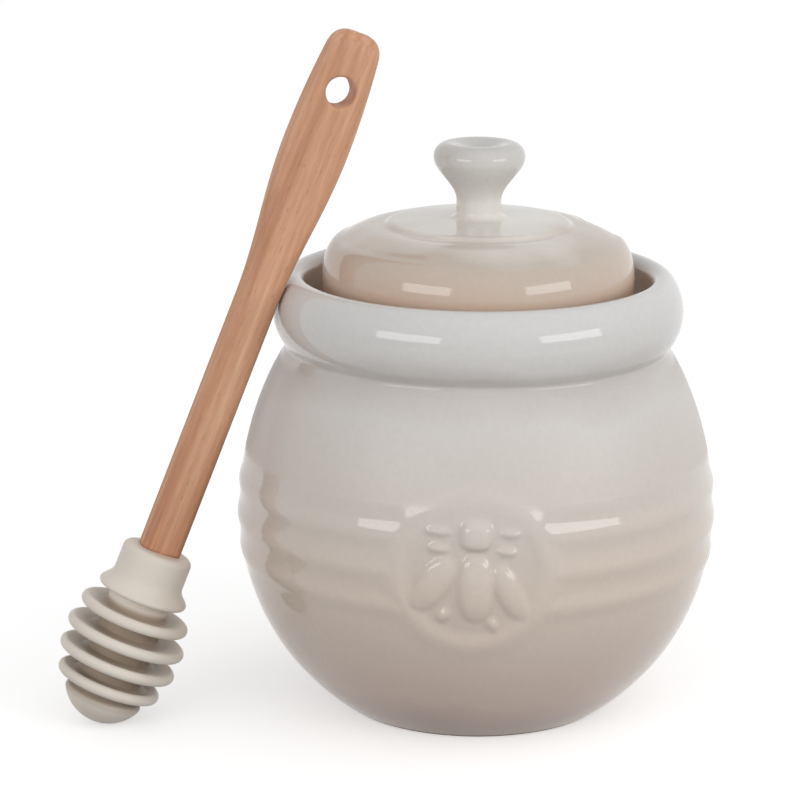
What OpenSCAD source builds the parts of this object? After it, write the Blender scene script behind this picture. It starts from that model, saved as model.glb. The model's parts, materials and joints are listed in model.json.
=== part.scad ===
// Stoneware honey pot with a lift-off lid and a honey dipper that leans on its collar.
// Millimetres. The pot stands on z = 0 around the Z axis, and its medallion faces -Y.

/* [Pot] */
// Radius of the belly under its raised bands
belly_r = 51.7; // [48:0.1:56]
// Height of the belly's widest place
belly_z = 43; // [40:0.5:46]
// Radius of the foot where it meets the table
foot_r = 28.7; // [25:0.1:33]
// Width of the foot ring
foot_w = 5; // [3:0.5:8]
// Depth of the hollow inside the foot ring
foot_hollow = 1.2; // [0.6:0.1:2]
// Thickness of the wall
wall = 5; // [4:0.1:6]
// Thickness of the floor above the foot's hollow
floor_t = 6; // [5:0.1:8]
// Radius of the round corner between floor and wall inside
floor_round = 12; // [6:1:16]
// Number of raised bands round the belly
band_n = 3; // [1:1:5]
// Distance from one band to the next
band_pitch = 7.7; // [6:0.1:9]
// Height of a band above the belly
band_h = 0.8; // [0.4:0.1:1.4]

/* [Collar] */
// Radius of the crease under the collar
neck_r = 41.3; // [40:0.1:43]
// Height of the crease above the table
neck_z = 80.1; // [76:0.1:86]
// Widest radius of the collar
collar_r = 44.4; // [43.6:0.1:47]
// Height of the collar's widest place above the crease
collar_low = 7.9; // [6:0.1:10]
// Height of the collar's crest above its widest place
collar_high = 8; // [6.5:0.1:10]
// Radius of the recess inside the collar
recess_r = 37.2; // [36:0.1:38]
// Depth of the recess from the crest to the lid's ledge
recess_h = 9; // [8:0.1:10]
// Radius of the throat inside the ledge
throat_r = 31.5; // [30:0.1:32.5]
// Thickness of the ledge at the throat
ledge_t = 4; // [3:0.1:5]

/* [Medallion] */
// Radius of the medallion's raised rim
medal_r = 15.6; // [14:0.1:17]
// Radius of the rim's round section
medal_rim = 2.2; // [1.6:0.1:3]
// Height of the rim above the belly
medal_h = 1.0; // [0.6:0.1:1.4]
// Height of the bee's body above the belly
bee_h = 1.7; // [1:0.1:2.4]
// Length of the bee from its head to the tip of its tail
bee_len = 20; // [17:0.1:22]

/* [Lid] */
// Gap between the lid's side and the recess
lid_gap = 3.5; // [3:0.1:4]
// Height of the lid's upright side
lid_side_h = 8; // [6.5:0.1:9]
// Height of the rounded shoulder above the side
shoulder_h = 8.5; // [7:0.1:10]
// Depth of the shoulder, from the side in to the lid's edge line
shoulder_w = 4.1; // [3:0.1:6]
// Width of the plain ring between the edge line and the centre disc
ring_w = 9.5; // [7:0.1:11]
// Rise of that ring
ring_rise = 2.7; // [2:0.1:3.5]
// Height of the step up to the centre disc
disc_step = 0.9; // [0.5:0.1:1.4]
// Rise of the centre disc to its middle
disc_rise = 0.7; // [0.4:0.1:1.5]
// Thickness of the lid
lid_t = 4.2; // [3.5:0.1:5]
// Height of the locating ring under the lid
locate_h = 2.5; // [2:0.1:3]
// Gap between the locating ring and the throat
locate_gap = 1.3; // [1.2:0.1:1.8]
// Width of the notch for the dipper's handle
notch_w = 12.5; // [11:0.1:14]
// Radius at which the notch ends, seen from above
notch_in = 24; // [23:0.1:26]
// Direction of the notch from +X towards the back
notch_az = 22; // [0:1:60]

/* [Knob] */
// Widest radius of the knob
knob_r = 9.9; // [8.5:0.1:12]
// Radius of its neck
knob_neck_r = 4.85; // [4:0.05:6]
// Height of the straight neck above the lid
knob_neck_h = 3.9; // [3:0.1:6]
// Height of the flare from the neck to the widest place
knob_flare_h = 9.4; // [7:0.1:12]
// Radius of the knob's rounded edge
knob_round = 3; // [2:0.1:3.5]
// Depth of the dish in the top of the knob
knob_dish = 1.5; // [0.8:0.1:2]
// Radius of the fillet round the foot of the knob
knob_fillet = 1.2; // [0.6:0.1:2]

/* [Dipper] */
// Distance from the pot's axis to where the dipper stands
stand_r = 81.7; // [79:0.1:90]
// Direction of the dipper from +X, counted over the back
stand_az = 196; // [180:1:230]
// Gap between the handle and the collar
lean_gap = 0.3; // [0.2:0.05:0.5]
// Length of the silicone head
head_len = 40.2; // [39.5:0.1:43]
// Radii of the rings, from the tip upwards
ring_rs = [11.6, 13.15, 13.35, 12.25]; // [10:0.05:15]
// Height of the lowest ring above the tip
ring_z = 9.8; // [9.5:0.1:10.2]
// Distance from one ring to the next
ring_pitch = 5.3; // [5:0.05:5.4]
// Thickness of a ring
ring_t = 3.6; // [3:0.1:4]
// Radius of the core between the rings
core_r = 6.8; // [6:0.1:8]
// Radius of the rounded end of the head
tip_r = 9.5; // [9.2:0.1:11]
// Radius of the end plate's edge
end_r = 8.6; // [8:0.1:9]
// Radius of the skirt over the top ring
skirt_r = 9.85; // [9:0.05:11]
// Radius of the socket that takes the handle
socket_r = 7.7; // [7.2:0.05:8.5]
// Length of the straight part of the socket
socket_h = 6.4; // [5:0.1:8]

/* [Handle] */
// Length of the handle above the head
handle_len = 118.8; // [110:0.1:130]
// Width of the shaft
shaft_w = 8.9; // [8:0.1:10]
// Width of the paddle at its widest place
paddle_w = 13.9; // [12:0.1:16]
// Width of the paddle at its end
end_w = 10.2; // [9:0.1:11]
// Thickness of the handle
handle_t = 7; // [6:0.1:8]
// Radius of the handle's long edges
edge_r = 2.3; // [1.5:0.1:2.8]
// Length of the plain shaft
shaft_len = 58; // [50:0.5:60]
// Length over which the shaft swells to the paddle
swell_len = 35; // [30:0.5:40]
// Radius of the corners at the handle's end
corner_r = 2.2; // [1:0.1:3]
// Radius of the hole to hang the dipper by
hang_r = 3.2; // [2.5:0.1:3.5]
// Distance from the hole's centre to the handle's end
hang_in = 13; // [10:0.1:16]
// Radius of the tenon in the head
tenon_r = 3.4; // [3:0.1:3.8]
// Length of the tenon
tenon_len = 24; // [18:0.5:26]
// Clearance round the tenon in its socket
tenon_gap = 0.05; // [0.02:0.01:0.1]

/* [Hidden] */
$fn = 96;

// Steps along one arc
arc_n = 12;
collar_z = neck_z + collar_low;
crest_z = collar_z + collar_high;
ledge_z = crest_z - recess_h;
floor_z = foot_hollow + floor_t;

// Radius of an arc that leaves the upright and moves in by w over a height h, or out where w is negative
function arc_radius(w, h) = (w * w + h * h) / (2 * w);
// Radius at a height z of an upright arc of radius R that passes through r at height z0
function arc_at(r, z0, R, z) = r - R + sign(R) * sqrt(R * R - (z - z0) * (z - z0));
// Points on a circle round [x, y], from angle a to angle b
function arc(x, y, r, a, b, n = arc_n) =
    [for (i = [0:n]) [x + r * cos(a + (b - a) * i / n), y + r * sin(a + (b - a) * i / n)]];

low_R = arc_radius(belly_r - foot_r, belly_z);
high_R = arc_radius(belly_r - neck_r, neck_z - belly_z);
under_R = arc_radius(collar_r - neck_r, collar_low);
// Radius of the body without its bands
function body_r(z) = arc_at(belly_r, belly_z, z < belly_z ? low_R : high_R, z);
// Radius of the inside wall, which follows the outside
function bowl_r(z) = arc_at(belly_r - wall, belly_z, (z < belly_z ? low_R : high_R) - wall, z);

// The collar's lip is a round of lip_r that its outer side, of radius side_R, meets smoothly
collar_w = collar_r - recess_r;
lip_r = 0.375 * collar_w;
side_R = (pow(collar_w - lip_r, 2) + pow(collar_high - lip_r, 2) - pow(lip_r, 2))
    / (2 * (collar_w - 2 * lip_r));
lip_x = recess_r + lip_r;
lip_z = crest_z - lip_r;
lip_a = atan2(lip_z - collar_z, lip_x - (collar_r - side_R));

// A band is a round whose section bulges band_h above the belly and spans one pitch of it
band_sag = band_h + band_pitch * band_pitch / (8 * low_R);
band_round = arc_radius(band_sag, band_pitch / 2);

function pot_outside() = concat(
    [for (i = [0:16]) let (z = belly_z * i / 16) [body_r(z), z]],
    [for (i = [1:12]) let (z = belly_z + (neck_z - belly_z) * i / 12) [body_r(z), z]],
    [for (i = [1:6]) let (z = neck_z + collar_low * i / 6)
        [arc_at(collar_r, collar_z, under_R, z), z]],
    arc(collar_r - side_R, collar_z, side_R, lip_a / 6, lip_a, 5),
    arc(lip_x, lip_z, lip_r, lip_a + 12, 180, 8),
    [[recess_r, ledge_z], [0, ledge_z]]
);

// Under the ledge the inside wall spreads from the throat at this slope, drop over width
ledge_slope = 0.7;
ledge_low = ledge_z - ledge_t;
bowl_top = ledge_low - (bowl_r(ledge_low - wall) - throat_r) * ledge_slope;
bowl_low = floor_z + floor_round;
function pot_inside() = concat(
    [[0, crest_z], [throat_r, crest_z], [throat_r, ledge_low]],
    [for (i = [0:16]) let (z = bowl_top + (bowl_low - bowl_top) * i / 16) [bowl_r(z), z]],
    arc(bowl_r(bowl_low) - floor_round, bowl_low, floor_round, -12, -90, 6),
    [[0, floor_z]]
);

// Turns its children to the medallion, on the belly's widest place: +Z points out of the belly
module at_medallion(turn = 0) {
    translate([0, 0, belly_z]) rotate([90, 0, 0]) rotate(turn) children();
}
// Turn that keeps the seams of round shapes off the middle band
seam_turn = 37;

// The rim's section sinks into the belly and stands medal_h above it
module medallion_rim() {
    polar = asin(medal_r / belly_r);
    deep = belly_r + medal_h - medal_rim;
    rotate_extrude() translate([deep * sin(polar), deep * cos(polar)]) circle(medal_rim, $fn = 32);
}

// A flat drop along +Y from the origin, fat near its start and slim at its tip
module drop(len, r, slim = 0.7) {
    n = 9;
    polygon(concat(
        [for (i = [0:n]) let (t = i / n) [r * sin(180 * pow(t, slim)), len * t]],
        [for (i = [n - 1:-1:1]) let (t = i / n) [-r * sin(180 * pow(t, slim)), len * t]]
    ));
}
// Places a drop at [x, y] from the medallion's centre, turned by a
module at(x, y, a) {
    translate([x, y]) rotate(a) children();
}

// Outlines of the bee's body, with its head up, for a bee 20 long
module bee_body() {
    at(0, 5, 180) drop(15, 3.3, 0.8);
    at(-3.4, 8.4, -90) drop(6.8, 2.7, 1);
}
module bee_wings() {
    for (s = [-1, 1]) at(s * 2.6, 4, 180 + s * 36) drop(12.6, 3.6, 1.35);
}
module bee_legs() {
    for (s = [-1, 1]) {
        at(s * 2.6, 7.6, -s * 80) drop(6.4, 1.1, 0.9);
        at(s * 2.6, 4.9, -s * 94) drop(6, 1.1, 0.9);
        at(s * 1.8, -5.6, 180 + s * 34) drop(6, 1.1, 0.9);
    }
}

// Raises outlines on the belly's sphere by h
module raised(h) {
    intersection() {
        translate([0, 0, belly_r - wall / 2]) linear_extrude(wall) scale(bee_len / 20) children();
        rotate(seam_turn) sphere(belly_r + h);
    }
}

module bee() {
    raised(bee_h) bee_body();
    raised(bee_h * 0.7) bee_wings();
    raised(bee_h * 0.5) bee_legs();
}

module bands() {
    for (i = [0:band_n - 1]) let (
        z = band_pitch * (i - (band_n - 1) / 2),
        R = z < 0 ? low_R : high_R,
        a = asin(z / R),
        out = R + band_h - band_round
    ) rotate_extrude()
        translate([belly_r - R + out * cos(a), belly_z + out * sin(a)]) circle(band_round);
}

// The medallion's field is cut back to a ball that lies a little under the belly
field_sink = 0.15;

module pot() color("linen") difference() {
    union() {
        difference() {
            union() {
                rotate_extrude() polygon(concat([[0, 0]], pot_outside()));
                bands();
            }
            difference() {
                at_medallion(seam_turn) cylinder(h = belly_r + wall, r = medal_r);
                at_medallion(seam_turn) sphere(belly_r - field_sink);
            }
        }
        at_medallion(seam_turn) medallion_rim();
        at_medallion() bee();
    }
    rotate_extrude() polygon(pot_inside());
    translate([0, 0, -1]) cylinder(h = foot_hollow + 1, r = foot_r - foot_w);
}

lid_r = recess_r - lid_gap;
edge_line_r = lid_r - shoulder_w;
disc_r = edge_line_r - ring_w;
side_top = ledge_z + lid_side_h;
edge_z = side_top + shoulder_h;
disc_z = edge_z + ring_rise + disc_step;
knob_z = disc_z + disc_rise;
// The step up to the disc leans in by this much
disc_edge = 0.05;
locate_r = throat_r - locate_gap;

// The lid's top from its side in to the foot of the knob
function lid_top() = concat(
    [for (i = [0:10]) let (a = 90 * i / 10)
        [edge_line_r + shoulder_w * cos(a), side_top + shoulder_h * sin(a)]],
    [for (i = [1:8]) let (t = i / 8)
        [edge_line_r - ring_w * t, edge_z + ring_rise * t + disc_step * sin(180 * t)]],
    [for (i = [0:8]) let (t = i / 8)
        [disc_r - disc_edge - (disc_r - knob_neck_r - knob_fillet) * t, disc_z + disc_rise * sin(90 * t)]]
);
function knob_side() = concat(
    arc(knob_neck_r + knob_fillet, knob_z + knob_fillet, knob_fillet, 255, 180, 5),
    [for (i = [0:14]) let (t = i / 14)
        [knob_neck_r + (knob_r - knob_neck_r) * (1 - cos(180 * t)) / 2,
         knob_z + knob_neck_h + knob_flare_h * t]],
    arc(knob_r - knob_round, knob_z + knob_neck_h + knob_flare_h, knob_round, 9, 90, 9)
);
knob_top = knob_z + knob_neck_h + knob_flare_h + knob_round;
dish_r = knob_r - knob_round;
function knob_dish_side() =
    [for (i = [1:8]) let (t = i / 8) [dish_r * (1 - t), knob_top - knob_dish * (1 - cos(180 * t)) / 2]];
// The lid's hollow is upright inside the locating ring and domed under the top
hollow_r = locate_r - lid_t;
dome_h = shoulder_h + ring_rise;
dome_z = edge_z + ring_rise - lid_t - dome_h;
function lid_hollow() = concat(
    [for (i = [0:9]) let (a = 90 - 10 * i) [hollow_r * cos(a), dome_z + dome_h * sqrt(sin(a))]],
    [[hollow_r, ledge_z - locate_h], [locate_r, ledge_z - locate_h], [locate_r, ledge_z], [lid_r, ledge_z]]
);

module lid() color("antiquewhite") {
    reach = notch_in + notch_w / 2;
    low = ledge_z - locate_h - 1;
    difference() {
        rotate_extrude() polygon(concat(lid_top(), knob_side(), knob_dish_side(), lid_hollow()));
        rotate([0, 0, notch_az]) {
            translate([reach, 0, low]) cylinder(h = edge_z - low + ring_rise, r = notch_w / 2);
            translate([reach, -notch_w / 2, low]) cube([lid_r, notch_w, edge_z - low + ring_rise]);
        }
    }
}

// Lean at which the handle lies lean_gap off a round of radius r centred at x from the axis and z up
function lean_on(x, z, r) = atan2(stand_r - x, z - tip_r)
    - asin((r + shaft_w / 2 + lean_gap) / norm([stand_r - x, z - tip_r]));
// The head stands on its round end, and the handle lies on what it meets first: the collar's lip or
// its side, or the belly where the collar is slim
lean = min(
    lean_on(lip_x, lip_z, lip_r),
    lean_on(collar_r - side_R, collar_z, side_R),
    lean_on(belly_r + band_h - high_R, belly_z, high_R)
);
// Puts its children, drawn upwards from the tip along +Z, where the dipper leans
module at_dipper() {
    rotate([0, 0, stand_az]) translate([stand_r, 0, tip_r]) rotate([0, -lean, 0])
        translate([0, 0, -tip_r]) children();
}

ring_n = len(ring_rs);
round_r = ring_t / 2;
// Small rounds: on the end plate's edge, on the skirt's edge and on the socket's mouth
plate_round = 1;
skirt_round = 0.9;
mouth_round = 1.4;
skirt_z = ring_z + (ring_n - 1) * ring_pitch + round_r + 2 * skirt_round + 1;
skirt_curve = 0.8;
socket_z = head_len - socket_h;
end_a = asin((end_r - plate_round / 2) / tip_r);
function ring_side(i) = let (z = ring_z + i * ring_pitch) concat(
    [[core_r, z - round_r]],
    arc(ring_rs[i] - round_r, z, round_r, -90, 90, 10),
    [[core_r, z + round_r]]
);
function head_side() = concat(
    arc(0, tip_r, tip_r, -90, -90 + end_a, 10),
    arc(end_r - plate_round, tip_r * (1 - cos(end_a)) + plate_round, plate_round, 0, 90, 4),
    [for (i = [0:ring_n - 1]) each ring_side(i)],
    [[core_r, skirt_z - skirt_round]],
    arc(skirt_r - skirt_round, skirt_z, skirt_round, -90, 45, 6),
    [for (i = [1:6]) let (t = i / 6, z = skirt_z + skirt_round)
        [socket_r + (skirt_r - socket_r) * pow(1 - t, 2) * skirt_curve, z + (socket_z - z) * t]],
    arc(socket_r - mouth_round, head_len - mouth_round, mouth_round, 0, 90, 6)
);
// The socket is a little deeper than the tenon is long
socket_spare = 0.3;
socket_low = head_len - tenon_len - socket_spare;

module dipper_head() color("gainsboro") at_dipper() difference() {
    rotate_extrude() polygon(concat(head_side(), [[0, head_len]]));
    translate([0, 0, socket_low]) cylinder(h = head_len, r = tenon_r + tenon_gap);
}

// Half the handle's width at a distance s above the head
function half_w(s) = s < shaft_len ? shaft_w / 2
    : s < shaft_len + swell_len
    ? (shaft_w + (paddle_w - shaft_w) * (1 - cos(180 * (s - shaft_len) / swell_len)) / 2) / 2
    : (paddle_w - (paddle_w - end_w)
        * pow((s - shaft_len - swell_len) / (handle_len - shaft_len - swell_len), 2)) / 2;
// One section of the handle, a rectangle with round corners, at height z
function section(hw, ht, r, z) = [
    for (q = [0:3], i = [0:5]) let (
        a = 90 * q + 18 * i,
        cx = (q == 0 || q == 3 ? 1 : -1) * (hw - r),
        cy = (q < 2 ? 1 : -1) * (ht - r)
    ) [cx + r * cos(a), cy + r * sin(a), z]
];
body_n = 30;
end_n = 5;
// The handle's end rounds off less across its thickness, by this share
end_share = 0.45;
sections = concat(
    [for (i = [0:body_n]) let (s = (handle_len - corner_r) * i / body_n)
        section(half_w(s), handle_t / 2, edge_r, s)],
    [for (i = [1:end_n]) let (a = 90 * i / end_n, in = corner_r * (1 - cos(a)))
        section(half_w(handle_len - corner_r) - in, handle_t / 2 - in * end_share,
            edge_r - in * end_share, handle_len - corner_r + corner_r * sin(a))]
);

// A skin over closed sections of equal point count
module loft(rows) {
    n = len(rows[0]);
    m = len(rows);
    polyhedron(
        points = [for (row = rows) each row],
        faces = concat(
            [[for (i = [0:n - 1]) i]],
            [for (j = [0:m - 2], i = [0:n - 1]) [j * n + i, (j + 1) * n + i, (j + 1) * n + (i + 1) % n]],
            [for (j = [0:m - 2], i = [0:n - 1]) [j * n + i, (j + 1) * n + (i + 1) % n, j * n + (i + 1) % n]],
            [[for (i = [n - 1:-1:0]) (m - 1) * n + i]]
        )
    );
}

module dipper_handle() color("burlywood") at_dipper() translate([0, 0, head_len]) difference() {
    union() {
        loft(sections);
        translate([0, 0, -tenon_len]) cylinder(h = tenon_len + 1, r = tenon_r);
    }
    translate([0, 0, handle_len - hang_in]) rotate([90, 0, 0])
        cylinder(h = handle_t * 2, r = hang_r, center = true);
}

pot();
lid();
dipper_head();
dipper_handle();
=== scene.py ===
"""Looks of a stoneware honey pot with a lift-off lid, and of the dipper that leans on it."""

import json
import math

import bpy
import numpy as np
from mathutils import Matrix, Vector
from mathutils.kdtree import KDTree

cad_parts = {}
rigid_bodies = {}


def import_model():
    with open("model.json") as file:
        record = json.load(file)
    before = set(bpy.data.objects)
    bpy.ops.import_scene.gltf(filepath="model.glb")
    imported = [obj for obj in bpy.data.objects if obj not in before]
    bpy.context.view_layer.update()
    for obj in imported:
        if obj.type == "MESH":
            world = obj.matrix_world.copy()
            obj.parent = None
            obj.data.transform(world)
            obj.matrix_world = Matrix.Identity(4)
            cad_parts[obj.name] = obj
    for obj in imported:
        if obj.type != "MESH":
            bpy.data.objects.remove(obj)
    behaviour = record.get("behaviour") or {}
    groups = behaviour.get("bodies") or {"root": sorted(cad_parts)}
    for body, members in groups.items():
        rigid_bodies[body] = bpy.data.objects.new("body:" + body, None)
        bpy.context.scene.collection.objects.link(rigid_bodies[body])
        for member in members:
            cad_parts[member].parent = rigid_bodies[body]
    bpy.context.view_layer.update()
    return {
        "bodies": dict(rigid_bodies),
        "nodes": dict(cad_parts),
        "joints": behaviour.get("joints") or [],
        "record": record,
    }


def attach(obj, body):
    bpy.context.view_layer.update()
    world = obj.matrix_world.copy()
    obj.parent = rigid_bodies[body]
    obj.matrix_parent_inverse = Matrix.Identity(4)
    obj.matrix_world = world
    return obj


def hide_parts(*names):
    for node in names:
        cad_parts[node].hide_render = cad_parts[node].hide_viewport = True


MM = 0.001

# Sizes of the pot, in mm
BELLY_R, BELLY_Z = 51.7, 43.0
FOOT_R, FOOT_W, FOOT_HOLLOW = 28.7, 5.0, 1.2
WALL, FLOOR_T, FLOOR_ROUND = 5.0, 6.0, 12.0
BAND_N, BAND_PITCH = 3, 7.7
NECK_R, NECK_Z = 41.3, 80.1
COLLAR_R, COLLAR_LOW, COLLAR_HIGH = 44.4, 7.9, 8.0
RECESS_R, RECESS_H, THROAT_R, LEDGE_T, LEDGE_SLOPE = 37.2, 9.0, 31.5, 4.0, 0.7
MEDAL_R, MEDAL_RIM = 15.6, 2.2
# The glaze fills the mould's forms, so that less of them stands out
BAND_SOFT_H, RIM_SOFT_H, FIELD_DIP, BEE_SOFT_H = 0.5, 0.4, 0.4, 1.5
# Where the medallion's outer slope starts and ends, and where its field does, which fades at the top
RIM_TOP_R, RIM_FOOT_R = MEDAL_R + 0.5, MEDAL_R + 2.2 * MEDAL_RIM
FIELD_R, FIELD_EDGE_R, FIELD_FADE = MEDAL_R - 3.4, MEDAL_R + 0.2, 0.65
# How far the glaze rounds corners and blurs the relief, and how fine the pot's mesh is
POT_SOFT, RELIEF_BLEND, RELIEF_BLUR = 0.55, 0.25, 0.4
RELIEF_STEP, PLAIN_STEP, RELIEF_COLUMNS, PLAIN_COLUMNS = 0.3, 1.2, 140, 150
# Sizes of the lid
LID_GAP, LID_SIDE_H, SHOULDER_H, SHOULDER_W = 3.5, 8.0, 8.5, 4.1
RING_W, RING_RISE, DISC_STEP, DISC_RISE = 9.5, 2.7, 0.9, 0.7
LID_T, LOCATE_H, LOCATE_GAP = 4.2, 2.5, 1.3
NOTCH_W, NOTCH_IN, NOTCH_AZ = 12.5, 24.0, 22.0
KNOB_R, KNOB_NECK_R, KNOB_NECK_H, KNOB_FLARE_H = 9.9, 4.85, 3.9, 9.4
KNOB_ROUND, KNOB_DISH, KNOB_FILLET = 3.0, 1.5, 1.2
LID_SOFT, NOTCH_LIP, LID_CELL = 0.45, 1.6, 0.45
# Sizes of the dipper
STAND_R, STAND_AZ, LEAN_GAP = 81.7, 196.0, 0.3
HEAD_LEN, RING_Z, RING_PITCH, RING_T, RIM_T = 40.2, 9.8, 5.3, 3.6, 2.6
RING_RS = (11.6, 13.15, 13.35, 12.25)
CORE_R, TIP_R, END_R = 6.8, 9.5, 8.6
SKIRT_R, SOCKET_R, SOCKET_H = 9.85, 7.7, 6.4
HANDLE_LEN, SHAFT_W, PADDLE_W, END_W = 118.8, 8.9, 13.9, 10.2
HANDLE_T, EDGE_R, SHAFT_LEN, SWELL_LEN = 7.0, 2.3, 58.0, 35.0
CORNER_R, HANG_R, HANG_IN = 2.2, 3.2, 13.0
TENON_R, TENON_LEN, TENON_GAP = 3.4, 24.0, 0.05
HEAD_SOFT, HEAD_COLUMNS, HOLE_LIP, HANDLE_CELL = 0.3, 128, 0.8, 0.4

COLLAR_Z = NECK_Z + COLLAR_LOW
CREST_Z = COLLAR_Z + COLLAR_HIGH
LEDGE_Z = CREST_Z - RECESS_H
FLOOR_Z = FOOT_HOLLOW + FLOOR_T
BAND_Z0 = BELLY_Z - BAND_N * BAND_PITCH / 2
FAR_AWAY = 1000.0


# Camera: where it stands in mm, its heading, downward pitch and roll in degrees, and its lens in mm
CAMERA_AT, CAMERA_TURN = (7.9, -704.85, 246.0), (2.0, 14.24, 0.31)
SENSOR_WIDTH, LENS = 36.0, 150.3


def photographers_camera():
    """A long lens at table-side height, a little tilted, as the photograph was taken."""
    data = bpy.data.cameras.new("camera")
    data.sensor_width, data.lens = SENSOR_WIDTH, LENS
    camera = bpy.data.objects.new("camera", data)
    bpy.context.scene.collection.objects.link(camera)
    heading, pitch, roll = (math.radians(angle) for angle in CAMERA_TURN)
    camera.matrix_world = (
        Matrix.Translation(Vector(CAMERA_AT) * MM)
        @ Matrix.Rotation(heading, 4, "Z")
        @ Matrix.Rotation(math.pi / 2 - pitch, 4, "X")
        @ Matrix.Rotation(roll, 4, "Z")
    )
    data.clip_start = 0.01
    bpy.context.scene.camera = camera


# Profiles and meshes of every piece
def arc(x, y, r, a, b, n=24):
    """Points on a circle round (x, y), from angle a to angle b in degrees."""
    turn = np.radians(np.linspace(a, b, n))
    return np.stack([x + r * np.cos(turn), y + r * np.sin(turn)], -1)


def arc_radius(w, h):
    """Radius of an arc that leaves the upright and moves in by w over a height h."""
    return (w * w + h * h) / (2 * w)


def arc_at(r, z0, radius, z):
    """Radius at height z of an upright arc, widest with r at z0."""
    return r - radius + np.sqrt(radius**2 - (z - z0) ** 2)


def softened(profile, reach, step=0.2):
    """The profile with its corners rounded over about reach mm, as glaze or a mould rounds them."""
    lengths = np.hypot(*np.diff(profile, axis=0).T)
    along = np.concatenate([[0], np.cumsum(lengths)])
    even = np.arange(0, along[-1], step)
    dense = np.stack([np.interp(even, along, profile[:, i]) for i in (0, 1)], -1)
    width = int(3 * reach / step)
    bell = np.exp(-0.5 * (np.arange(-width, width + 1) * step / reach) ** 2)
    bell /= bell.sum()
    head = 2 * dense[0] - dense[width:0:-1]
    tail = 2 * dense[-1] - dense[-2 : -width - 2 : -1]
    padded = np.concatenate([head, dense, tail])
    smooth = np.stack([np.convolve(padded[:, i], bell, "valid") for i in (0, 1)], -1)
    smooth[0], smooth[-1] = profile[0], profile[-1]
    return smooth


def thinned(profile, longest, turn=3.0):
    """Fewer points where the profile runs straight. longest(point) is the most space allowed there."""
    kept, heading = [0], None
    run = 0.0
    for i in range(1, len(profile) - 1):
        step = profile[i + 1] - profile[i]
        run += np.hypot(*(profile[i] - profile[i - 1]))
        angle = math.degrees(math.atan2(step[1], step[0]))
        if heading is None:
            heading = angle
        bend = abs((angle - heading + 180) % 360 - 180)
        if run >= longest(profile[i]) or bend >= turn:
            kept.append(i)
            run, heading = 0.0, angle
    return profile[kept + [len(profile) - 1]]


def piece(name, points, faces, material, body, *nodes):
    """A smooth-shaded piece from points in mm, which rides on a body and stands for CAD nodes."""
    mesh = bpy.data.meshes.new(name)
    mesh.from_pydata((np.asarray(points) * MM).tolist(), [], faces)
    mesh.validate()
    mesh.polygons.foreach_set("use_smooth", [True] * len(mesh.polygons))
    mesh.materials.append(material)
    made = bpy.data.objects.new(name, mesh)
    bpy.context.scene.collection.objects.link(made)
    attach(made, body)
    if nodes:
        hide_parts(*nodes)
    return made


def remember(made, name, values):
    """Keeps a value, or a place, of each point with the piece, for its material."""
    kind, key = ("FLOAT", "value") if values.ndim == 1 else ("FLOAT_VECTOR", "vector")
    kept = made.data.attributes.new(name, kind, "POINT")
    kept.data.foreach_set(key, values.astype(np.float32).ravel())


def turned(profile, turns):
    """Points and faces of a profile of (radius, height) turned about Z; its ends lie on the axis."""
    n = len(turns)
    rows = len(profile) - 2
    ring = np.stack([np.cos(turns), np.sin(turns)], -1)
    points = [[0, 0, profile[0][1]]]
    for r, z in profile[1:-1]:
        points.extend(np.column_stack([r * ring, np.full(n, z)]).tolist())
    points.append([0, 0, profile[-1][1]])
    last = len(points) - 1
    faces = [[0, 1 + (i + 1) % n, 1 + i] for i in range(n)]
    for j in range(rows - 1):
        a, b = 1 + j * n, 1 + (j + 1) * n
        faces.extend([a + i, a + (i + 1) % n, b + (i + 1) % n, b + i] for i in range(n))
    a = 1 + (rows - 1) * n
    faces.extend([a + i, a + (i + 1) % n, last] for i in range(n))
    return np.array(points, float), faces


def smooth_max(a, b, k):
    """The larger of a and b, with the corner between them rounded over k."""
    mix = np.clip(0.5 + 0.5 * (a - b) / k, 0, 1)
    return b + (a - b) * mix + k * mix * (1 - mix)


def fade(x, low, high):
    """0 below low and 1 above high, eased between."""
    t = np.clip((x - low) / (high - low), 0, 1)
    return t * t * (3 - 2 * t)


# Pot
def body_r(z):
    """Radius of the body without its bands."""
    low = arc_radius(BELLY_R - FOOT_R, BELLY_Z)
    high = arc_radius(BELLY_R - NECK_R, NECK_Z - BELLY_Z)
    return np.where(
        z < BELLY_Z,
        arc_at(BELLY_R, BELLY_Z, low, np.minimum(z, BELLY_Z)),
        arc_at(BELLY_R, BELLY_Z, high, np.clip(z, BELLY_Z, NECK_Z)),
    )


def bowl_r(z):
    """Radius of the inside wall, which follows the outside."""
    low = arc_radius(BELLY_R - FOOT_R, BELLY_Z) - WALL
    high = arc_radius(BELLY_R - NECK_R, NECK_Z - BELLY_Z) - WALL
    radius = np.where(z < BELLY_Z, low, high)
    return arc_at(BELLY_R - WALL, BELLY_Z, radius, z)


def collar_rounds():
    """The collar's lip and outer side as rounds: (centre radius, centre height, radius) of each."""
    width = COLLAR_R - RECESS_R
    lip = 0.375 * width
    side = ((width - lip) ** 2 + (COLLAR_HIGH - lip) ** 2 - lip**2) / (2 * (width - 2 * lip))
    return (RECESS_R + lip, CREST_Z - lip, lip), (COLLAR_R - side, COLLAR_Z, side)


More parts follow.
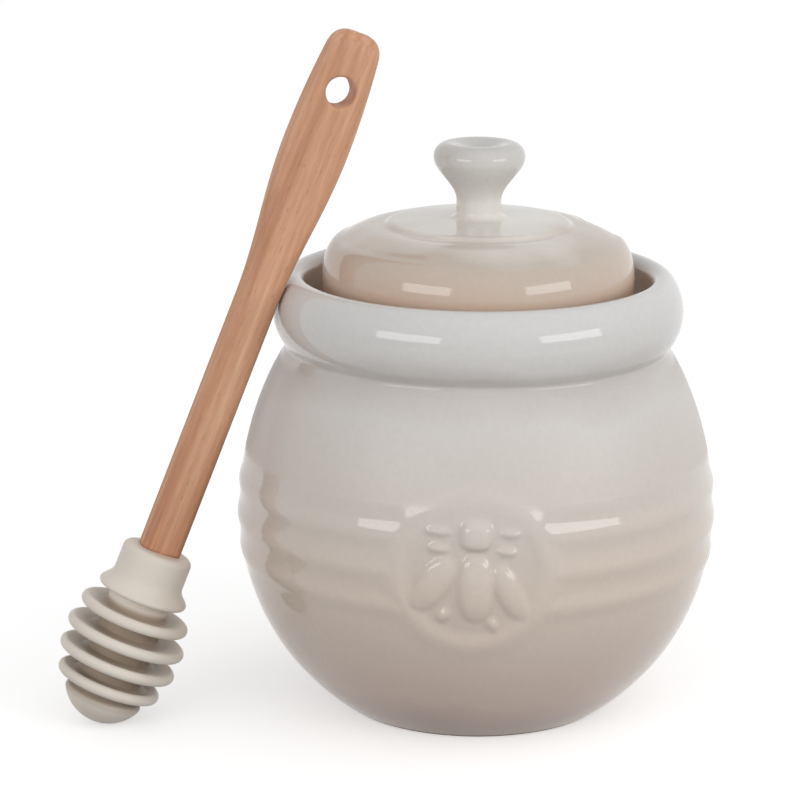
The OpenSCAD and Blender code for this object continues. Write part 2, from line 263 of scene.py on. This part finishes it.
def pot_profile():
    """From the middle of the hollow foot out over belly and collar, and in to the middle of the floor."""
    z_low = np.linspace(0, BELLY_Z, 60)
    z_high = np.linspace(BELLY_Z, NECK_Z, 60)[1:]
    z_under = np.linspace(NECK_Z, COLLAR_Z, 20)[1:]
    under = arc_radius(COLLAR_R - NECK_R, COLLAR_LOW)
    (lip_x, lip_z, lip), (side_x, side_z, side) = collar_rounds()
    lip_a = math.degrees(math.atan2(lip_z - side_z, lip_x - side_x))
    ledge_low = LEDGE_Z - LEDGE_T
    bowl_top = ledge_low - (float(bowl_r(ledge_low - WALL)) - THROAT_R) * LEDGE_SLOPE
    bowl_low = FLOOR_Z + FLOOR_ROUND
    z_bowl = np.linspace(bowl_top, bowl_low, 60)
    foot = [[0, FOOT_HOLLOW], [FOOT_R - FOOT_W, FOOT_HOLLOW], [FOOT_R - FOOT_W, 0]]
    return np.concatenate([
        foot,
        np.stack([body_r(z_low), z_low], -1),
        np.stack([body_r(z_high), z_high], -1),
        np.stack([arc_at(COLLAR_R, COLLAR_Z, under, z_under), z_under], -1),
        arc(side_x, side_z, side, lip_a / 6, lip_a),
        arc(lip_x, lip_z, lip, lip_a + 4, 180),
        [[RECESS_R, LEDGE_Z], [THROAT_R, LEDGE_Z], [THROAT_R, ledge_low]],
        np.stack([bowl_r(z_bowl), z_bowl], -1),
        arc(float(bowl_r(bowl_low)) - FLOOR_ROUND, bowl_low, FLOOR_ROUND, -5, -90),
        [[0, FLOOR_Z]],
    ])


def dome(u, v, x, y, turn, length, width, height, square):
    """A raised form centred on (x, y), rounded like a worn mould's, length along its own turn."""
    a = math.radians(turn)
    along = (u - x) * math.cos(a) + (v - y) * math.sin(a)
    across = (v - y) * math.cos(a) - (u - x) * math.sin(a)
    q = np.abs(2 * along / length) ** square + np.abs(2 * across / width) ** square
    return height * np.sqrt(np.clip(1 - q, 0, 1))


# The bee's parts in mm from the medallion's middle: x, y, turn, length, width, height, squareness
BEE = (
    (0.85, 8.5, -3, 6.6, 6.4, 1.0, 3.0),
    (0.73, -2.8, 91.5, 14.6, 7.4, 1.0, 2.4),
    (-8.07, -1.98, 56, 13.4, 6.7, 0.75, 2.3),
    (7.8, -3.7, -64, 13.0, 5.4, 0.75, 2.3),
    (-6.9, 9.3, -2, 5.8, 1.8, 0.55, 2.0),
    (-6.9, 5.7, -3, 4.8, 1.9, 0.55, 2.0),
    (7.7, 8.9, -5, 4.6, 1.8, 0.55, 2.0),
    (7.1, 5.1, -8, 4.6, 1.9, 0.55, 2.0),
    (-5.8, -8.8, 50, 3.4, 2.4, 0.55, 2.0),
    (4.35, -10.8, -60, 3.4, 2.4, 0.55, 2.0),
)


def bee_relief(u, v):
    """Height of the bee at (u, v) mm from the medallion's middle, u to the right and v up."""
    return BEE_SOFT_H * np.max([dome(u, v, *part) for part in BEE], axis=0)


def belly_relief(turn, z):
    """Height of bands, medallion and bee above the plain belly, at a turn about Z and a height."""
    base = body_r(z)
    u, v = base * np.sin(turn + math.pi / 2), z - BELLY_Z
    u = np.where(np.cos(turn + math.pi / 2) > 0, u, FAR_AWAY)
    d = np.hypot(u, v)
    wave = (z - BAND_Z0) / BAND_PITCH
    bands = BAND_SOFT_H * (1 - np.cos(2 * np.pi * wave)) / 2
    bands = np.where((wave > 0) & (wave < BAND_N), bands, 0) * fade(d, MEDAL_R, MEDAL_R + MEDAL_RIM)
    # The glazed rim slopes away gently outside and dips to a shallow field inside, less so at the top
    rim = RIM_SOFT_H * (1 - fade(d, RIM_TOP_R, RIM_FOOT_R))
    field = (RIM_SOFT_H + FIELD_DIP) * (1 - fade(d, FIELD_R, FIELD_EDGE_R))
    field = field * (1 - FIELD_FADE * fade(v, 0, MEDAL_R))
    height = smooth_max(bands, rim, RELIEF_BLEND) - field
    return height + np.where(d < MEDAL_R, bee_relief(u, v), 0)


def relief_at(points):
    """How far each point of the pot's skin stands out, blurred as a coat of glaze blurs it."""
    r, z = np.hypot(points[:, 0], points[:, 1]), points[:, 2]
    turn = np.arctan2(points[:, 1], points[:, 0])
    shifts = [(i * RELIEF_BLUR / BELLY_R, j * RELIEF_BLUR) for i in (-1, 0, 1) for j in (-1, 0, 1)]
    relief = np.mean([belly_relief(turn + a, z + b) for a, b in shifts], axis=0)
    # Only on the outside, clear of the foot and of the crease under the collar
    outside = (r > body_r(z) - 1.5) & (z < NECK_Z - 5) & (z > 10)
    return np.where(outside, relief, 0)


def inside_at(points, r):
    """1 on the bowl and the recess, fading to 0 over the collar's lip."""
    z = points[:, 2]
    over_lip = 1 - fade(r, RECESS_R, RECESS_R + 1.2)
    in_bowl = (r < body_r(np.clip(z, 0, NECK_Z)) - WALL / 2) * 1.0
    return np.where(z > NECK_Z, over_lip, in_bowl) * (z > FLOOR_Z / 2)


def honey_pot(glaze):
    """Wheel-smooth body with its bands, medallion and rolled collar in one skin."""
    reach = MEDAL_R + 3

    def longest(point):
        r, z = point
        outside = r > float(body_r(min(z, NECK_Z))) - 2 and z < NECK_Z
        return RELIEF_STEP if outside and abs(z - BELLY_Z) < reach else PLAIN_STEP

    profile = thinned(softened(pot_profile(), POT_SOFT), longest)
    medal = math.asin(reach / BELLY_R)
    front = -math.pi / 2
    near = np.linspace(front - medal, front + medal, RELIEF_COLUMNS)
    far = np.linspace(front + medal, front - medal + 2 * math.pi, PLAIN_COLUMNS)[1:-1]
    points, faces = turned(profile, np.concatenate([near, far]))
    r = np.hypot(points[:, 0], points[:, 1])
    relief = relief_at(points)
    points[:, :2] *= ((r + relief) / np.maximum(r, 1e-6))[:, None]
    pot = piece("pot_skin", points, faces, glaze, "pot", "pot")
    remember(pot, "relief", relief)
    remember(pot, "inside", inside_at(points, r))
    return pot


# Lid
def lid_profile():
    """From the middle of the hollow underside out round the seat and over the top to the knob."""
    lid_r = RECESS_R - LID_GAP
    edge_r = lid_r - SHOULDER_W
    disc_r = edge_r - RING_W
    side_top = LEDGE_Z + LID_SIDE_H
    edge_z = side_top + SHOULDER_H
    disc_z = edge_z + RING_RISE + DISC_STEP
    knob_z = disc_z + DISC_RISE
    locate_r = THROAT_R - LOCATE_GAP
    hollow_r = locate_r - LID_T
    dome_h = SHOULDER_H + RING_RISE
    dome_z = edge_z + RING_RISE - LID_T - dome_h
    turn = np.radians(np.linspace(90, 0, 30))
    hollow = np.stack([hollow_r * np.cos(turn), dome_z + dome_h * np.sqrt(np.sin(turn))], -1)
    turn = np.radians(np.linspace(0, 90, 30))
    shoulder = np.stack([edge_r + SHOULDER_W * np.cos(turn), side_top + SHOULDER_H * np.sin(turn)], -1)
    t = np.linspace(0, 1, 24)[1:]
    ring = np.stack([edge_r - RING_W * t, edge_z + RING_RISE * t + DISC_STEP * np.sin(np.pi * t)], -1)
    disc = np.stack([
        disc_r - 0.05 - (disc_r - KNOB_NECK_R - KNOB_FILLET) * t,
        disc_z + DISC_RISE * np.sin(np.pi / 2 * t),
    ], -1)
    flare = np.stack([
        KNOB_NECK_R + (KNOB_R - KNOB_NECK_R) * (1 - np.cos(np.pi * t)) / 2,
        knob_z + KNOB_NECK_H + KNOB_FLARE_H * t,
    ], -1)
    knob_top = knob_z + KNOB_NECK_H + KNOB_FLARE_H + KNOB_ROUND
    dish = np.stack([
        (KNOB_R - KNOB_ROUND) * (1 - t),
        knob_top - KNOB_DISH * (1 - np.cos(np.pi * t)) / 2,
    ], -1)
    return np.concatenate([
        hollow,
        [[hollow_r, LEDGE_Z - LOCATE_H], [locate_r, LEDGE_Z - LOCATE_H]],
        [[locate_r, LEDGE_Z], [lid_r, LEDGE_Z]],
        shoulder,
        ring,
        disc,
        arc(KNOB_NECK_R + KNOB_FILLET, knob_z + KNOB_FILLET, KNOB_FILLET, 255, 180),
        flare,
        arc(KNOB_R - KNOB_ROUND, knob_z + KNOB_NECK_H + KNOB_FLARE_H, KNOB_ROUND, 9, 90),
        dish,
    ])


def turned_solid(profile):
    """A function from points to their distance outside a turned solid, and that distance's slope."""
    dense = softened(profile, 0.1, 0.1)
    along = np.gradient(dense, axis=0)
    normal = np.stack([along[:, 1], -along[:, 0]], -1)
    normal /= np.linalg.norm(normal, axis=1)[:, None]
    tree = KDTree(len(dense))
    for i, (r, z) in enumerate(dense):
        tree.insert((r, z, 0), i)
    tree.balance()

    def solid(points):
        r = np.maximum(np.hypot(points[:, 0], points[:, 1]), 1e-6)
        near = np.array([tree.find((a, b, 0))[1] for a, b in zip(r, points[:, 2])])
        n = normal[near]
        value = (r - dense[near, 0]) * n[:, 0] + (points[:, 2] - dense[near, 1]) * n[:, 1]
        return value, np.column_stack([points[:, :2] * (n[:, 0] / r)[:, None], n[:, 1]])

    return solid


def carved(solid, tool, k):
    """Distance and slope of a solid with a tool taken away, its lips rounded over k."""
    mix = np.clip(0.5 + 0.5 * (solid[0] + tool[0]) / k, 0, 1)
    value = -tool[0] + (solid[0] + tool[0]) * mix + k * mix * (1 - mix)
    return value, solid[1] * mix[:, None] - tool[1] * (1 - mix)[:, None]


def settled(points, shape, passes=4):
    """The points moved onto the surface where shape's distance is 0."""
    for _ in range(passes):
        value, slope = shape(points)
        size = np.maximum((slope**2).sum(1), 0.3)
        points = points - (value / size)[:, None] * slope
    return points


def fine_copy(node, cell):
    """A fine even mesh of a CAD node, in mm, to be settled onto a rounder surface."""
    source = bpy.data.objects[node]
    copy = bpy.data.objects.new("fine_copy", source.data.copy())
    bpy.context.scene.collection.objects.link(copy)
    remesh = copy.modifiers.new("cells", "REMESH")
    remesh.mode = "VOXEL"
    remesh.voxel_size = cell * MM
    bpy.context.view_layer.update()
    mesh = bpy.data.meshes.new_from_object(copy.evaluated_get(bpy.context.evaluated_depsgraph_get()))
    points = np.array([v.co for v in mesh.vertices]) / MM
    faces = [list(p.vertices) for p in mesh.polygons]
    bpy.data.objects.remove(copy)
    bpy.data.meshes.remove(mesh)
    return points, faces


def pot_lid(glaze):
    """The lid with its knob, its notch's lips rounded by glaze."""
    points, faces = fine_copy("lid", LID_CELL)
    solid = turned_solid(softened(lid_profile(), LID_SOFT))
    a = math.radians(NOTCH_AZ)
    out = np.array([math.cos(a), math.sin(a), 0])
    left = np.array([-math.sin(a), math.cos(a), 0])
    mid = NOTCH_IN + NOTCH_W / 2
    top = LEDGE_Z + LID_SIDE_H + SHOULDER_H + 2 * RING_RISE

    def notch(points):
        along, across = points @ out - mid, points @ left
        end = np.minimum(along, 0)
        span = np.maximum(np.hypot(end, across), 1e-6)
        slope = (end / span)[:, None] * out + (across / span)[:, None] * left
        away = (points[:, 2] > top) | (points @ out < 0)
        return np.where(away, 50.0, span - NOTCH_W / 2), slope

    points = settled(points, lambda p: carved(solid(p), notch(p), NOTCH_LIP))
    lid = piece("lid_skin", points, faces, glaze, "lid", "lid")
    return lid


# Dipper
def leaning():
    """The dipper's own frame, with Z up its axis from the tip, where it leans on the collar."""

    def lean_on(x, z, r):
        across, up = STAND_R - x, z - TIP_R
        return math.atan2(across, up) - math.asin((r + SHAFT_W / 2 + LEAN_GAP) / math.hypot(across, up))

    lean = min(lean_on(*rounded) for rounded in collar_rounds())
    return (
        Matrix.Rotation(math.radians(STAND_AZ), 4, "Z")
        @ Matrix.Translation((STAND_R, 0, TIP_R))
        @ Matrix.Rotation(-lean, 4, "Y")
        @ Matrix.Translation((0, 0, -TIP_R))
    )


def placed(points, frame):
    """Points of the dipper's own frame, moved to where it leans."""
    m = np.array(frame)
    return points @ m[:3, :3].T + m[:3, 3]


def head_profile():
    """From the tip up over the rings, the skirt and the socket's mouth, and down inside the socket."""
    round_r, plate, skirt_round, mouth = RING_T / 2, 1.0, 0.9, 1.4
    n = len(RING_RS)
    skirt_z = RING_Z + (n - 1) * RING_PITCH + round_r + 2 * skirt_round + 1
    socket_z = HEAD_LEN - SOCKET_H
    hole_r = TENON_R + TENON_GAP
    end_a = math.degrees(math.asin((END_R - plate / 2) / TIP_R))
    parts = [
        arc(0, TIP_R, TIP_R, -90, -90 + end_a),
        arc(END_R - plate, TIP_R * (1 - math.cos(math.radians(end_a))) + plate, plate, 0, 90),
    ]
    rim_r, trim, cup_w, cup_drop, core_drop = RIM_T / 2, 0.15, 1.6, 0.9, 0.3
    for i, ring_r in enumerate(RING_RS):
        # Each rim lies low on its ring, and the cupped upper face falls towards the core
        low = RING_Z + i * RING_PITCH - round_r
        parts += [
            [[CORE_R, low]],
            arc(ring_r - trim - rim_r, low + rim_r, rim_r, -90, 80),
            [[CORE_R + cup_w, low + RIM_T - cup_drop], [CORE_R, low + RIM_T - core_drop]],
        ]
    t = np.linspace(0, 1, 16)[1:]
    z0 = skirt_z + skirt_round
    parts += [
        [[CORE_R, skirt_z - skirt_round]],
        arc(SKIRT_R - skirt_round, skirt_z, skirt_round, -90, 45),
        np.stack([SOCKET_R + (SKIRT_R - SOCKET_R) * (1 - t) ** 2 * 0.8, z0 + (socket_z - z0) * t], -1),
        arc(SOCKET_R - mouth, HEAD_LEN - mouth, mouth, 0, 90),
        [[hole_r, HEAD_LEN], [hole_r, HEAD_LEN - TENON_LEN], [0, HEAD_LEN - TENON_LEN - 0.1]],
    ]
    return np.concatenate(parts)


def dipper_head(silicone, lean):
    """The moulded head, with its hollows kept for the material, which paints shade into them."""
    profile = thinned(softened(head_profile(), HEAD_SOFT, 0.1), lambda p: 1.0, 6.0)
    points, faces = turned(profile, np.linspace(0, 2 * math.pi, HEAD_COLUMNS + 1)[:-1])
    head = piece("head_skin", placed(points, lean), faces, silicone, "head", "dipper_head")
    # Painted shade, with a little dust: the hollows between the rings, from the tip plate up to the skirt
    hollow = 1 - fade(np.hypot(points[:, 0], points[:, 1]), CORE_R, CORE_R + RING_T)
    skirt_z = HEAD_LEN - SOCKET_H - 7
    hollow *= 1 - fade(points[:, 2], skirt_z, skirt_z + 1)
    hollow *= fade(points[:, 2], TIP_R / 2, TIP_R / 2 + 1)
    remember(head, "hollow", hollow)
    return head


def half_width(s):
    """Half the handle's width at a distance s above the head."""
    swell = np.clip((s - SHAFT_LEN) / SWELL_LEN, 0, 1)
    end = np.clip((s - SHAFT_LEN - SWELL_LEN) / (HANDLE_LEN - SHAFT_LEN - SWELL_LEN), 0, 1)
    width = SHAFT_W + (PADDLE_W - SHAFT_W) * (1 - np.cos(np.pi * swell)) / 2 - (PADDLE_W - END_W) * end**2
    return width / 2


def dipper_handle(beech, lean):
    """The handle, sanded round at its edges and at the hanging hole."""
    points, faces = fine_copy("dipper_handle", HANDLE_CELL)
    back = np.array(lean.inverted())
    points = points @ back[:3, :3].T + back[:3, 3]
    hole_z = HEAD_LEN + HANDLE_LEN - HANG_IN

    def distance(p):
        s = p[:, 2] - HEAD_LEN
        qx = np.abs(p[:, 0]) - (half_width(s) - EDGE_R)
        qy = np.abs(p[:, 1]) - (HANDLE_T / 2 - EDGE_R)
        side = np.hypot(np.maximum(qx, 0), np.maximum(qy, 0)) + np.minimum(np.maximum(qx, qy), 0) - EDGE_R
        bar = np.maximum(smooth_max(side, s - HANDLE_LEN, 2 * CORNER_R), -s)
        tenon = np.maximum(np.hypot(p[:, 0], p[:, 1]) - TENON_R, np.maximum(s - 1, -TENON_LEN - s))
        hole = np.hypot(p[:, 0], p[:, 2] - hole_z) - HANG_R
        return smooth_max(np.minimum(bar, tenon), -hole, HOLE_LIP)

    def shape(p, probe=0.02):
        steps = probe * np.eye(3)
        slope = np.stack([(distance(p + step) - distance(p - step)) / (2 * probe) for step in steps], -1)
        return distance(p), slope

    points = settled(points, shape)
    handle = piece("handle_skin", placed(points, lean), faces, beech, "handle", "dipper_handle")
    remember(handle, "own", points * MM)
    return handle


# Materials
def linear(colour):
    """An sRGB hex colour as linear RGBA."""
    parts = [int(colour[i : i + 2], 16) / 255 for i in (1, 3, 5)]
    return [c / 12.92 if c <= 0.04045 else ((c + 0.055) / 1.055) ** 2.4 for c in parts] + [1.0]


def add(tree, kind, sockets=(), out=None, stops=(), **settings):
    """Adds a node and gives it, or its output named out. sockets holds its inputs' values or what feeds
    them, by name or in order, stops its (place, sRGB hex) colours along a ramp, and settings its
    properties."""
    made = tree.nodes.new("ShaderNode" + kind)
    for name, value in settings.items():
        setattr(made, name, value)
    named = sockets if isinstance(sockets, dict) else dict(enumerate(sockets))
    for name, value in named.items():
        socket = made.inputs[name]
        if isinstance(value, bpy.types.NodeSocket):
            tree.links.new(value, socket)
        else:
            socket.default_value = value
    for i, (place, colour) in enumerate(stops):
        bar = made.color_ramp.elements
        if i >= len(bar):
            bar.new(1.0)
        bar[i].position, bar[i].color = place, linear(colour)
    return made if out is None else made.outputs[out]


def new_material(name):
    """An empty material and its node tree."""
    material = bpy.data.materials.new(name)
    material.use_nodes = True
    material.node_tree.nodes.clear()
    return material, material.node_tree


# A range that eases: its sockets are the value, where it starts and ends, and what it gives there
EASED = {"interpolation_type": "SMOOTHSTEP"}


def patchy(tree, place, across, low, high, detail=2.0, edges=(0.3, 0.7)):
    """A value that eases from low to high and back over cloudy patches about across mm wide."""
    cloud = add(tree, "TexNoise", {"Vector": place, "Scale": 1 / (across * MM), "Detail": detail}, "Fac")
    return add(tree, "MapRange", (cloud, *edges, low, high), "Result", **EASED)


def stain_and_shade(tree, tint, tint_factor, share):
    """The tint, multiplied by a colour where share is 1 and left as it is where share is 0. It puts in real
    colour, and also painted shade.
    """
    dark = add(tree, "VectorMath", (tint, tint_factor), "Vector", operation="MULTIPLY")
    return add(tree, "Mix", {"Factor": share, 6: tint, 7: dark}, 2, data_type="RGBA")


def glazed_stoneware(name, low, high, tints, satin_z=None):
    """Glazed stoneware: a pale clay under sprayed, fired glass, which shades from one tint to another,
    is thin and lighter on raised edges, pools darker in hollows, and mirrors lamps sharply. Round the
    height satin_z the glass is thin and satin, and under the foot the clay is bare."""
    material, tree = new_material(name)
    place = add(tree, "TexCoord", out="Object")
    height = add(tree, "SeparateXYZ", {"Vector": place}, "Z")
    # The sprayed tint wanders by 3 mm over patches about 30 mm across
    drift = patchy(tree, place, 30, -3 * MM, 3 * MM, edges=(0.2, 0.8))
    level = add(tree, "Math", (height, drift), "Value", operation="ADD")
    up = add(tree, "MapRange", {"Value": level, "From Min": low * MM, "From Max": high * MM}, "Result")
    tint = add(tree, "ValToRGB", {"Fac": up}, "Color", tints)
    # Thin glass over each millimetre of relief is 5% lighter, and fine specks vary it by 1.5%
    relief = add(tree, "Attribute", out="Fac", attribute_name="relief")
    thin = add(tree, "Math", (relief, 0.05, 1.0), "Value", operation="MULTIPLY_ADD")
    specks = patchy(tree, place, 1.3, 0.985, 1.015, 3.0)
    for shade in (thin, specks):
        tint = add(tree, "VectorMath", {0: tint, "Scale": shade}, "Vector", operation="SCALE")
    # Inside, where the spray hardly reaches, the clay warms the glass
    inside = add(tree, "Attribute", out="Fac", attribute_name="inside")
    tint = stain_and_shade(tree, tint, (0.96, 0.84, 0.75), inside)
    gloss = patchy(tree, place, 9, 0.05, 0.08)
    if satin_z is not None:
        above = add(tree, "Math", (height, satin_z * MM), "Value", operation="SUBTRACT")
        away = add(tree, "Math", (above,), "Value", operation="ABSOLUTE")
        full, none, satin_roughness = 9 * MM, 12 * MM, 0.38
        satin = add(tree, "MapRange", (away, full, none, satin_roughness, 0.0), "Result", **EASED)
        gloss = add(tree, "Math", (gloss, satin), "Value", operation="ADD")
    # The glaze's skin waves by a few hundredths of a millimetre
    swell = add(tree, "TexNoise", {"Vector": place, "Scale": 1 / (7 * MM), "Detail": 1.0}, "Fac")
    waves = add(tree, "Bump", {"Height": swell, "Distance": 0.035 * MM}, "Normal")
    glass = add(tree, "BsdfPrincipled", {
        "Base Color": tint, "Roughness": gloss, "IOR": 1.5, "Normal": waves,
    }, "BSDF")
    # Bare clay shows its grog, grains of half a millimetre
    grog = add(tree, "TexNoise", {"Vector": place, "Scale": 1 / (0.5 * MM), "Detail": 4.0}, "Fac")
    clay = add(tree, "BsdfPrincipled", {
        "Base Color": add(tree, "ValToRGB", {"Fac": grog}, "Color", [(0.3, "#a98f78"), (0.7, "#cbb49d")]),
        "Roughness": add(tree, "MapRange", (grog, 0.3, 0.7, 0.8, 0.95), "Result", **EASED),
        "Normal": add(tree, "Bump", {"Height": grog, "Distance": 0.06 * MM}, "Normal"),
    }, "BSDF")
    bare = add(tree, "MapRange", (height, 0.7 * MM, 0.9 * MM, 1.0, 0.0), "Result", **EASED)
    skin = add(tree, "MixShader", (bare, glass, clay), "Shader")
    add(tree, "OutputMaterial", {"Surface": skin})
    return material


def moulded_silicone():
    """Moulded silicone rubber: off-white and satin, with a fine blasted grain from the mould, hollows
    darkened by painted shade, with a little dust from use, and light that soaks a little way in."""
    material, tree = new_material("moulded_silicone")
    place = add(tree, "TexCoord", out="Object")
    cloud = add(tree, "TexNoise", {"Vector": place, "Scale": 1 / (12 * MM), "Detail": 3.0}, "Fac")
    tint = add(tree, "ValToRGB", {"Fac": cloud}, "Color", [(0.3, "#e2d9cd"), (0.7, "#ebe3d8")])
    # The hollows between the rings are painted darker: mostly painted shade, a little dust from use
    hollow = add(tree, "Attribute", out="Fac", attribute_name="hollow")
    grain = add(tree, "TexNoise", {"Vector": place, "Scale": 1 / (0.35 * MM), "Detail": 2.0}, "Fac")
    shader = add(tree, "BsdfPrincipled", {
        "Base Color": stain_and_shade(tree, tint, (0.52, 0.45, 0.39), hollow),
        "Roughness": patchy(tree, place, 3, 0.4, 0.5), "IOR": 1.41,
        "Normal": add(tree, "Bump", {"Height": grain, "Distance": 0.02 * MM}, "Normal"),
        "Subsurface Weight": 0.15, "Subsurface Scale": 2 * MM,
    }, "BSDF")
    add(tree, "OutputMaterial", {"Surface": shader})
    return material


def oiled_beech():
    """Oiled beech: pinkish brown, with soft lengthwise streaks, fine pores and short dark flecks, and
    redder and darker towards the head."""
    material, tree = new_material("oiled_beech")
    own = add(tree, "Attribute", out="Vector", attribute_name="own")

    def fibres(across, times, detail):
        """Noise about across mm wide, drawn out along the handle by times."""
        along = add(tree, "VectorMath", (own, (1, 1, 1 / times)), "Vector", operation="MULTIPLY")
        return add(tree, "TexNoise", {"Vector": along, "Scale": 1 / (across * MM), "Detail": detail}, "Fac")

    streaks = fibres(2.2, 30, 3.0)
    pores = fibres(0.35, 14, 2.0)
    flecks = add(tree, "MapRange", (fibres(0.4, 5, 1.0), 0.67, 0.77, 0.0, 1.0), "Result", **EASED)
    wood = add(tree, "ValToRGB", {"Fac": streaks}, "Color", [
        (0.25, "#bb8464"), (0.45, "#d19b79"), (0.6, "#dda987"), (0.78, "#e9bd9c"),
    ])
    fine = add(tree, "MapRange", (pores, 0.3, 0.7, 0.93, 1.05), "Result", **EASED)
    shade = add(tree, "Math", (flecks, -0.2, fine), "Value", operation="MULTIPLY_ADD")
    wood = add(tree, "VectorMath", {0: wood, "Scale": shade}, "Vector", operation="SCALE")
    # From 42 to 90 mm above the head's tip the redder, darker colour gives way to the plain wood
    along = add(tree, "SeparateXYZ", {"Vector": own}, "Z")
    near_head = add(tree, "MapRange", (along, 42 * MM, 90 * MM, 1.0, 0.0), "Result", **EASED)
    # Pores stand open and flecks lie a little deeper
    grain = add(tree, "Math", (pores, flecks), "Value", operation="SUBTRACT")
    shader = add(tree, "BsdfPrincipled", {
        "Base Color": stain_and_shade(tree, wood, (0.82, 0.73, 0.68), near_head),
        "Roughness": add(tree, "MapRange", (streaks, 0.3, 0.7, 0.62, 0.52), "Result", **EASED),
        "Normal": add(tree, "Bump", {"Height": grain, "Distance": 0.03 * MM}, "Normal"),
    }, "BSDF")
    add(tree, "OutputMaterial", {"Surface": shader})
    return material


# Stage
POT_MIDDLE = Vector((0, 0, 0.07))
# Brightness of the room's walls, and how it changes towards +X, +Y and +Z
ROOM_LEVEL, ROOM_SLOPE = 0.93, (0.31, -0.124, -0.45)
# The table's colour as it lights the part, and as it is seen
TABLE, SEEN_TABLE, TABLE_GLOW, TABLE_HALF = "#a6a6a6", "#e8e8e8", 0.5, 3.0
BOX_DISTANCE, BOX_LIFT, BOX_SIZE, BOX_RADIANCE = 0.7, 14, (0.46, 0.17), 3.5
WHITE = [1, 1, 1, 1]


def soft_box(name, heading):
    """A soft box that faces the pot from a heading, in degrees from +X."""
    turn = math.radians(heading)
    away = Vector((math.cos(turn), math.sin(turn), math.tan(math.radians(BOX_LIFT))))
    data = bpy.data.lights.new(name, "AREA")
    data.shape = "RECTANGLE"
    data.size, data.size_y = BOX_SIZE
    # An area lamp spreads its power over a half space, so its brightness is power / (pi * area)
    data.energy = BOX_RADIANCE * math.pi * data.size * data.size_y
    lamp = bpy.data.objects.new(name, data)
    lamp.location = POT_MIDDLE + away * BOX_DISTANCE
    lamp.rotation_euler = away.to_track_quat("Z", "Y").to_euler()
    bpy.context.scene.collection.objects.link(lamp)


def seen_or_mirrored(tree):
    """1 for rays from the camera and for those that mirrors and glass send on, else 0."""
    path = add(tree, "LightPath").outputs
    sent_on = (path["Is Glossy Ray"], path["Is Transmission Ray"])
    mirrored = add(tree, "Math", sent_on, "Value", operation="MAXIMUM")
    return add(tree, "Math", (path["Is Camera Ray"], mirrored), "Value", operation="MAXIMUM")


def pale_room():
    """Walls that light the part a little more from the right and from low down, and look white."""
    world = bpy.data.worlds.new("studio")
    bpy.context.scene.world = world
    world.use_nodes = True
    tree = world.node_tree
    tree.nodes.clear()
    look = add(tree, "TexCoord", out="Generated")
    side = add(tree, "VectorMath", (look, ROOM_SLOPE), "Value", operation="DOT_PRODUCT")
    level = add(tree, "Math", (side, ROOM_LEVEL), "Value", operation="ADD")
    room = add(tree, "Background", {"Color": WHITE, "Strength": level}, "Background")
    white = add(tree, "Background", {"Color": WHITE, "Strength": 1.0}, "Background")
    both = add(tree, "MixShader", (seen_or_mirrored(tree), room, white), "Shader")
    add(tree, "OutputWorld", {"Surface": both})


def pale_table():
    """A pale table that looks white, and keeps the part's shadow."""
    corners = [(x * TABLE_HALF, y * TABLE_HALF, 0) for x, y in ((-1, -1), (1, -1), (1, 1), (-1, 1))]
    mesh = bpy.data.meshes.new("table")
    mesh.from_pydata(corners, [], [(0, 1, 2, 3)])
    table = bpy.data.objects.new("table", mesh)
    bpy.context.scene.collection.objects.link(table)
    material, tree = new_material("pale_table")
    cloth = add(tree, "BsdfDiffuse", {"Color": linear(TABLE)}, "BSDF")
    paper = add(tree, "BsdfDiffuse", {"Color": linear(SEEN_TABLE)}, "BSDF")
    glow = add(tree, "Emission", {"Color": WHITE, "Strength": TABLE_GLOW}, "Emission")
    lifted = add(tree, "AddShader", (paper, glow), "Shader")
    both = add(tree, "MixShader", (seen_or_mirrored(tree), cloth, lifted), "Shader")
    add(tree, "OutputMaterial", {"Surface": both})
    mesh.materials.append(material)


def studio():
    """A pale table under two soft boxes, in a pale room."""
    pale_room()
    pale_table()
    soft_box("box_left", -127)
    soft_box("box_right", -37)


# The part
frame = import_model()
photographers_camera()

# The pot's tints are darker towards the bottom; the darker stop at 0.83, in the crease under the collar, is
# painted shade
pot_glaze = glazed_stoneware("glazed_stoneware_pot", 0, 96, [
    (0.0, "#b39b8e"), (0.12, "#d4beb1"), (0.25, "#d3c2b5"), (0.42, "#d7c8bb"), (0.58, "#d6cdc5"),
    (0.75, "#d7d2cd"), (0.83, "#c9c3be"), (0.88, "#d8d5d2"), (1.0, "#dbd9d7"),
], satin_z=67.5)
lid_glaze = glazed_stoneware("glazed_stoneware_lid", 86, 124, [
    (0.0, "#d8b69c"), (0.37, "#cebcad"), (0.48, "#c9bbad"), (0.58, "#e1dcd4"), (0.7, "#dfdbd5"),
    (0.88, "#d7d4d0"), (1.0, "#cecbc8"),
])
lean = leaning()
honey_pot(pot_glaze)
pot_lid(lid_glaze)
dipper_head(moulded_silicone(), lean)
dipper_handle(oiled_beech(), lean)
studio()

bpy.context.scene.view_settings.view_transform = "Standard"
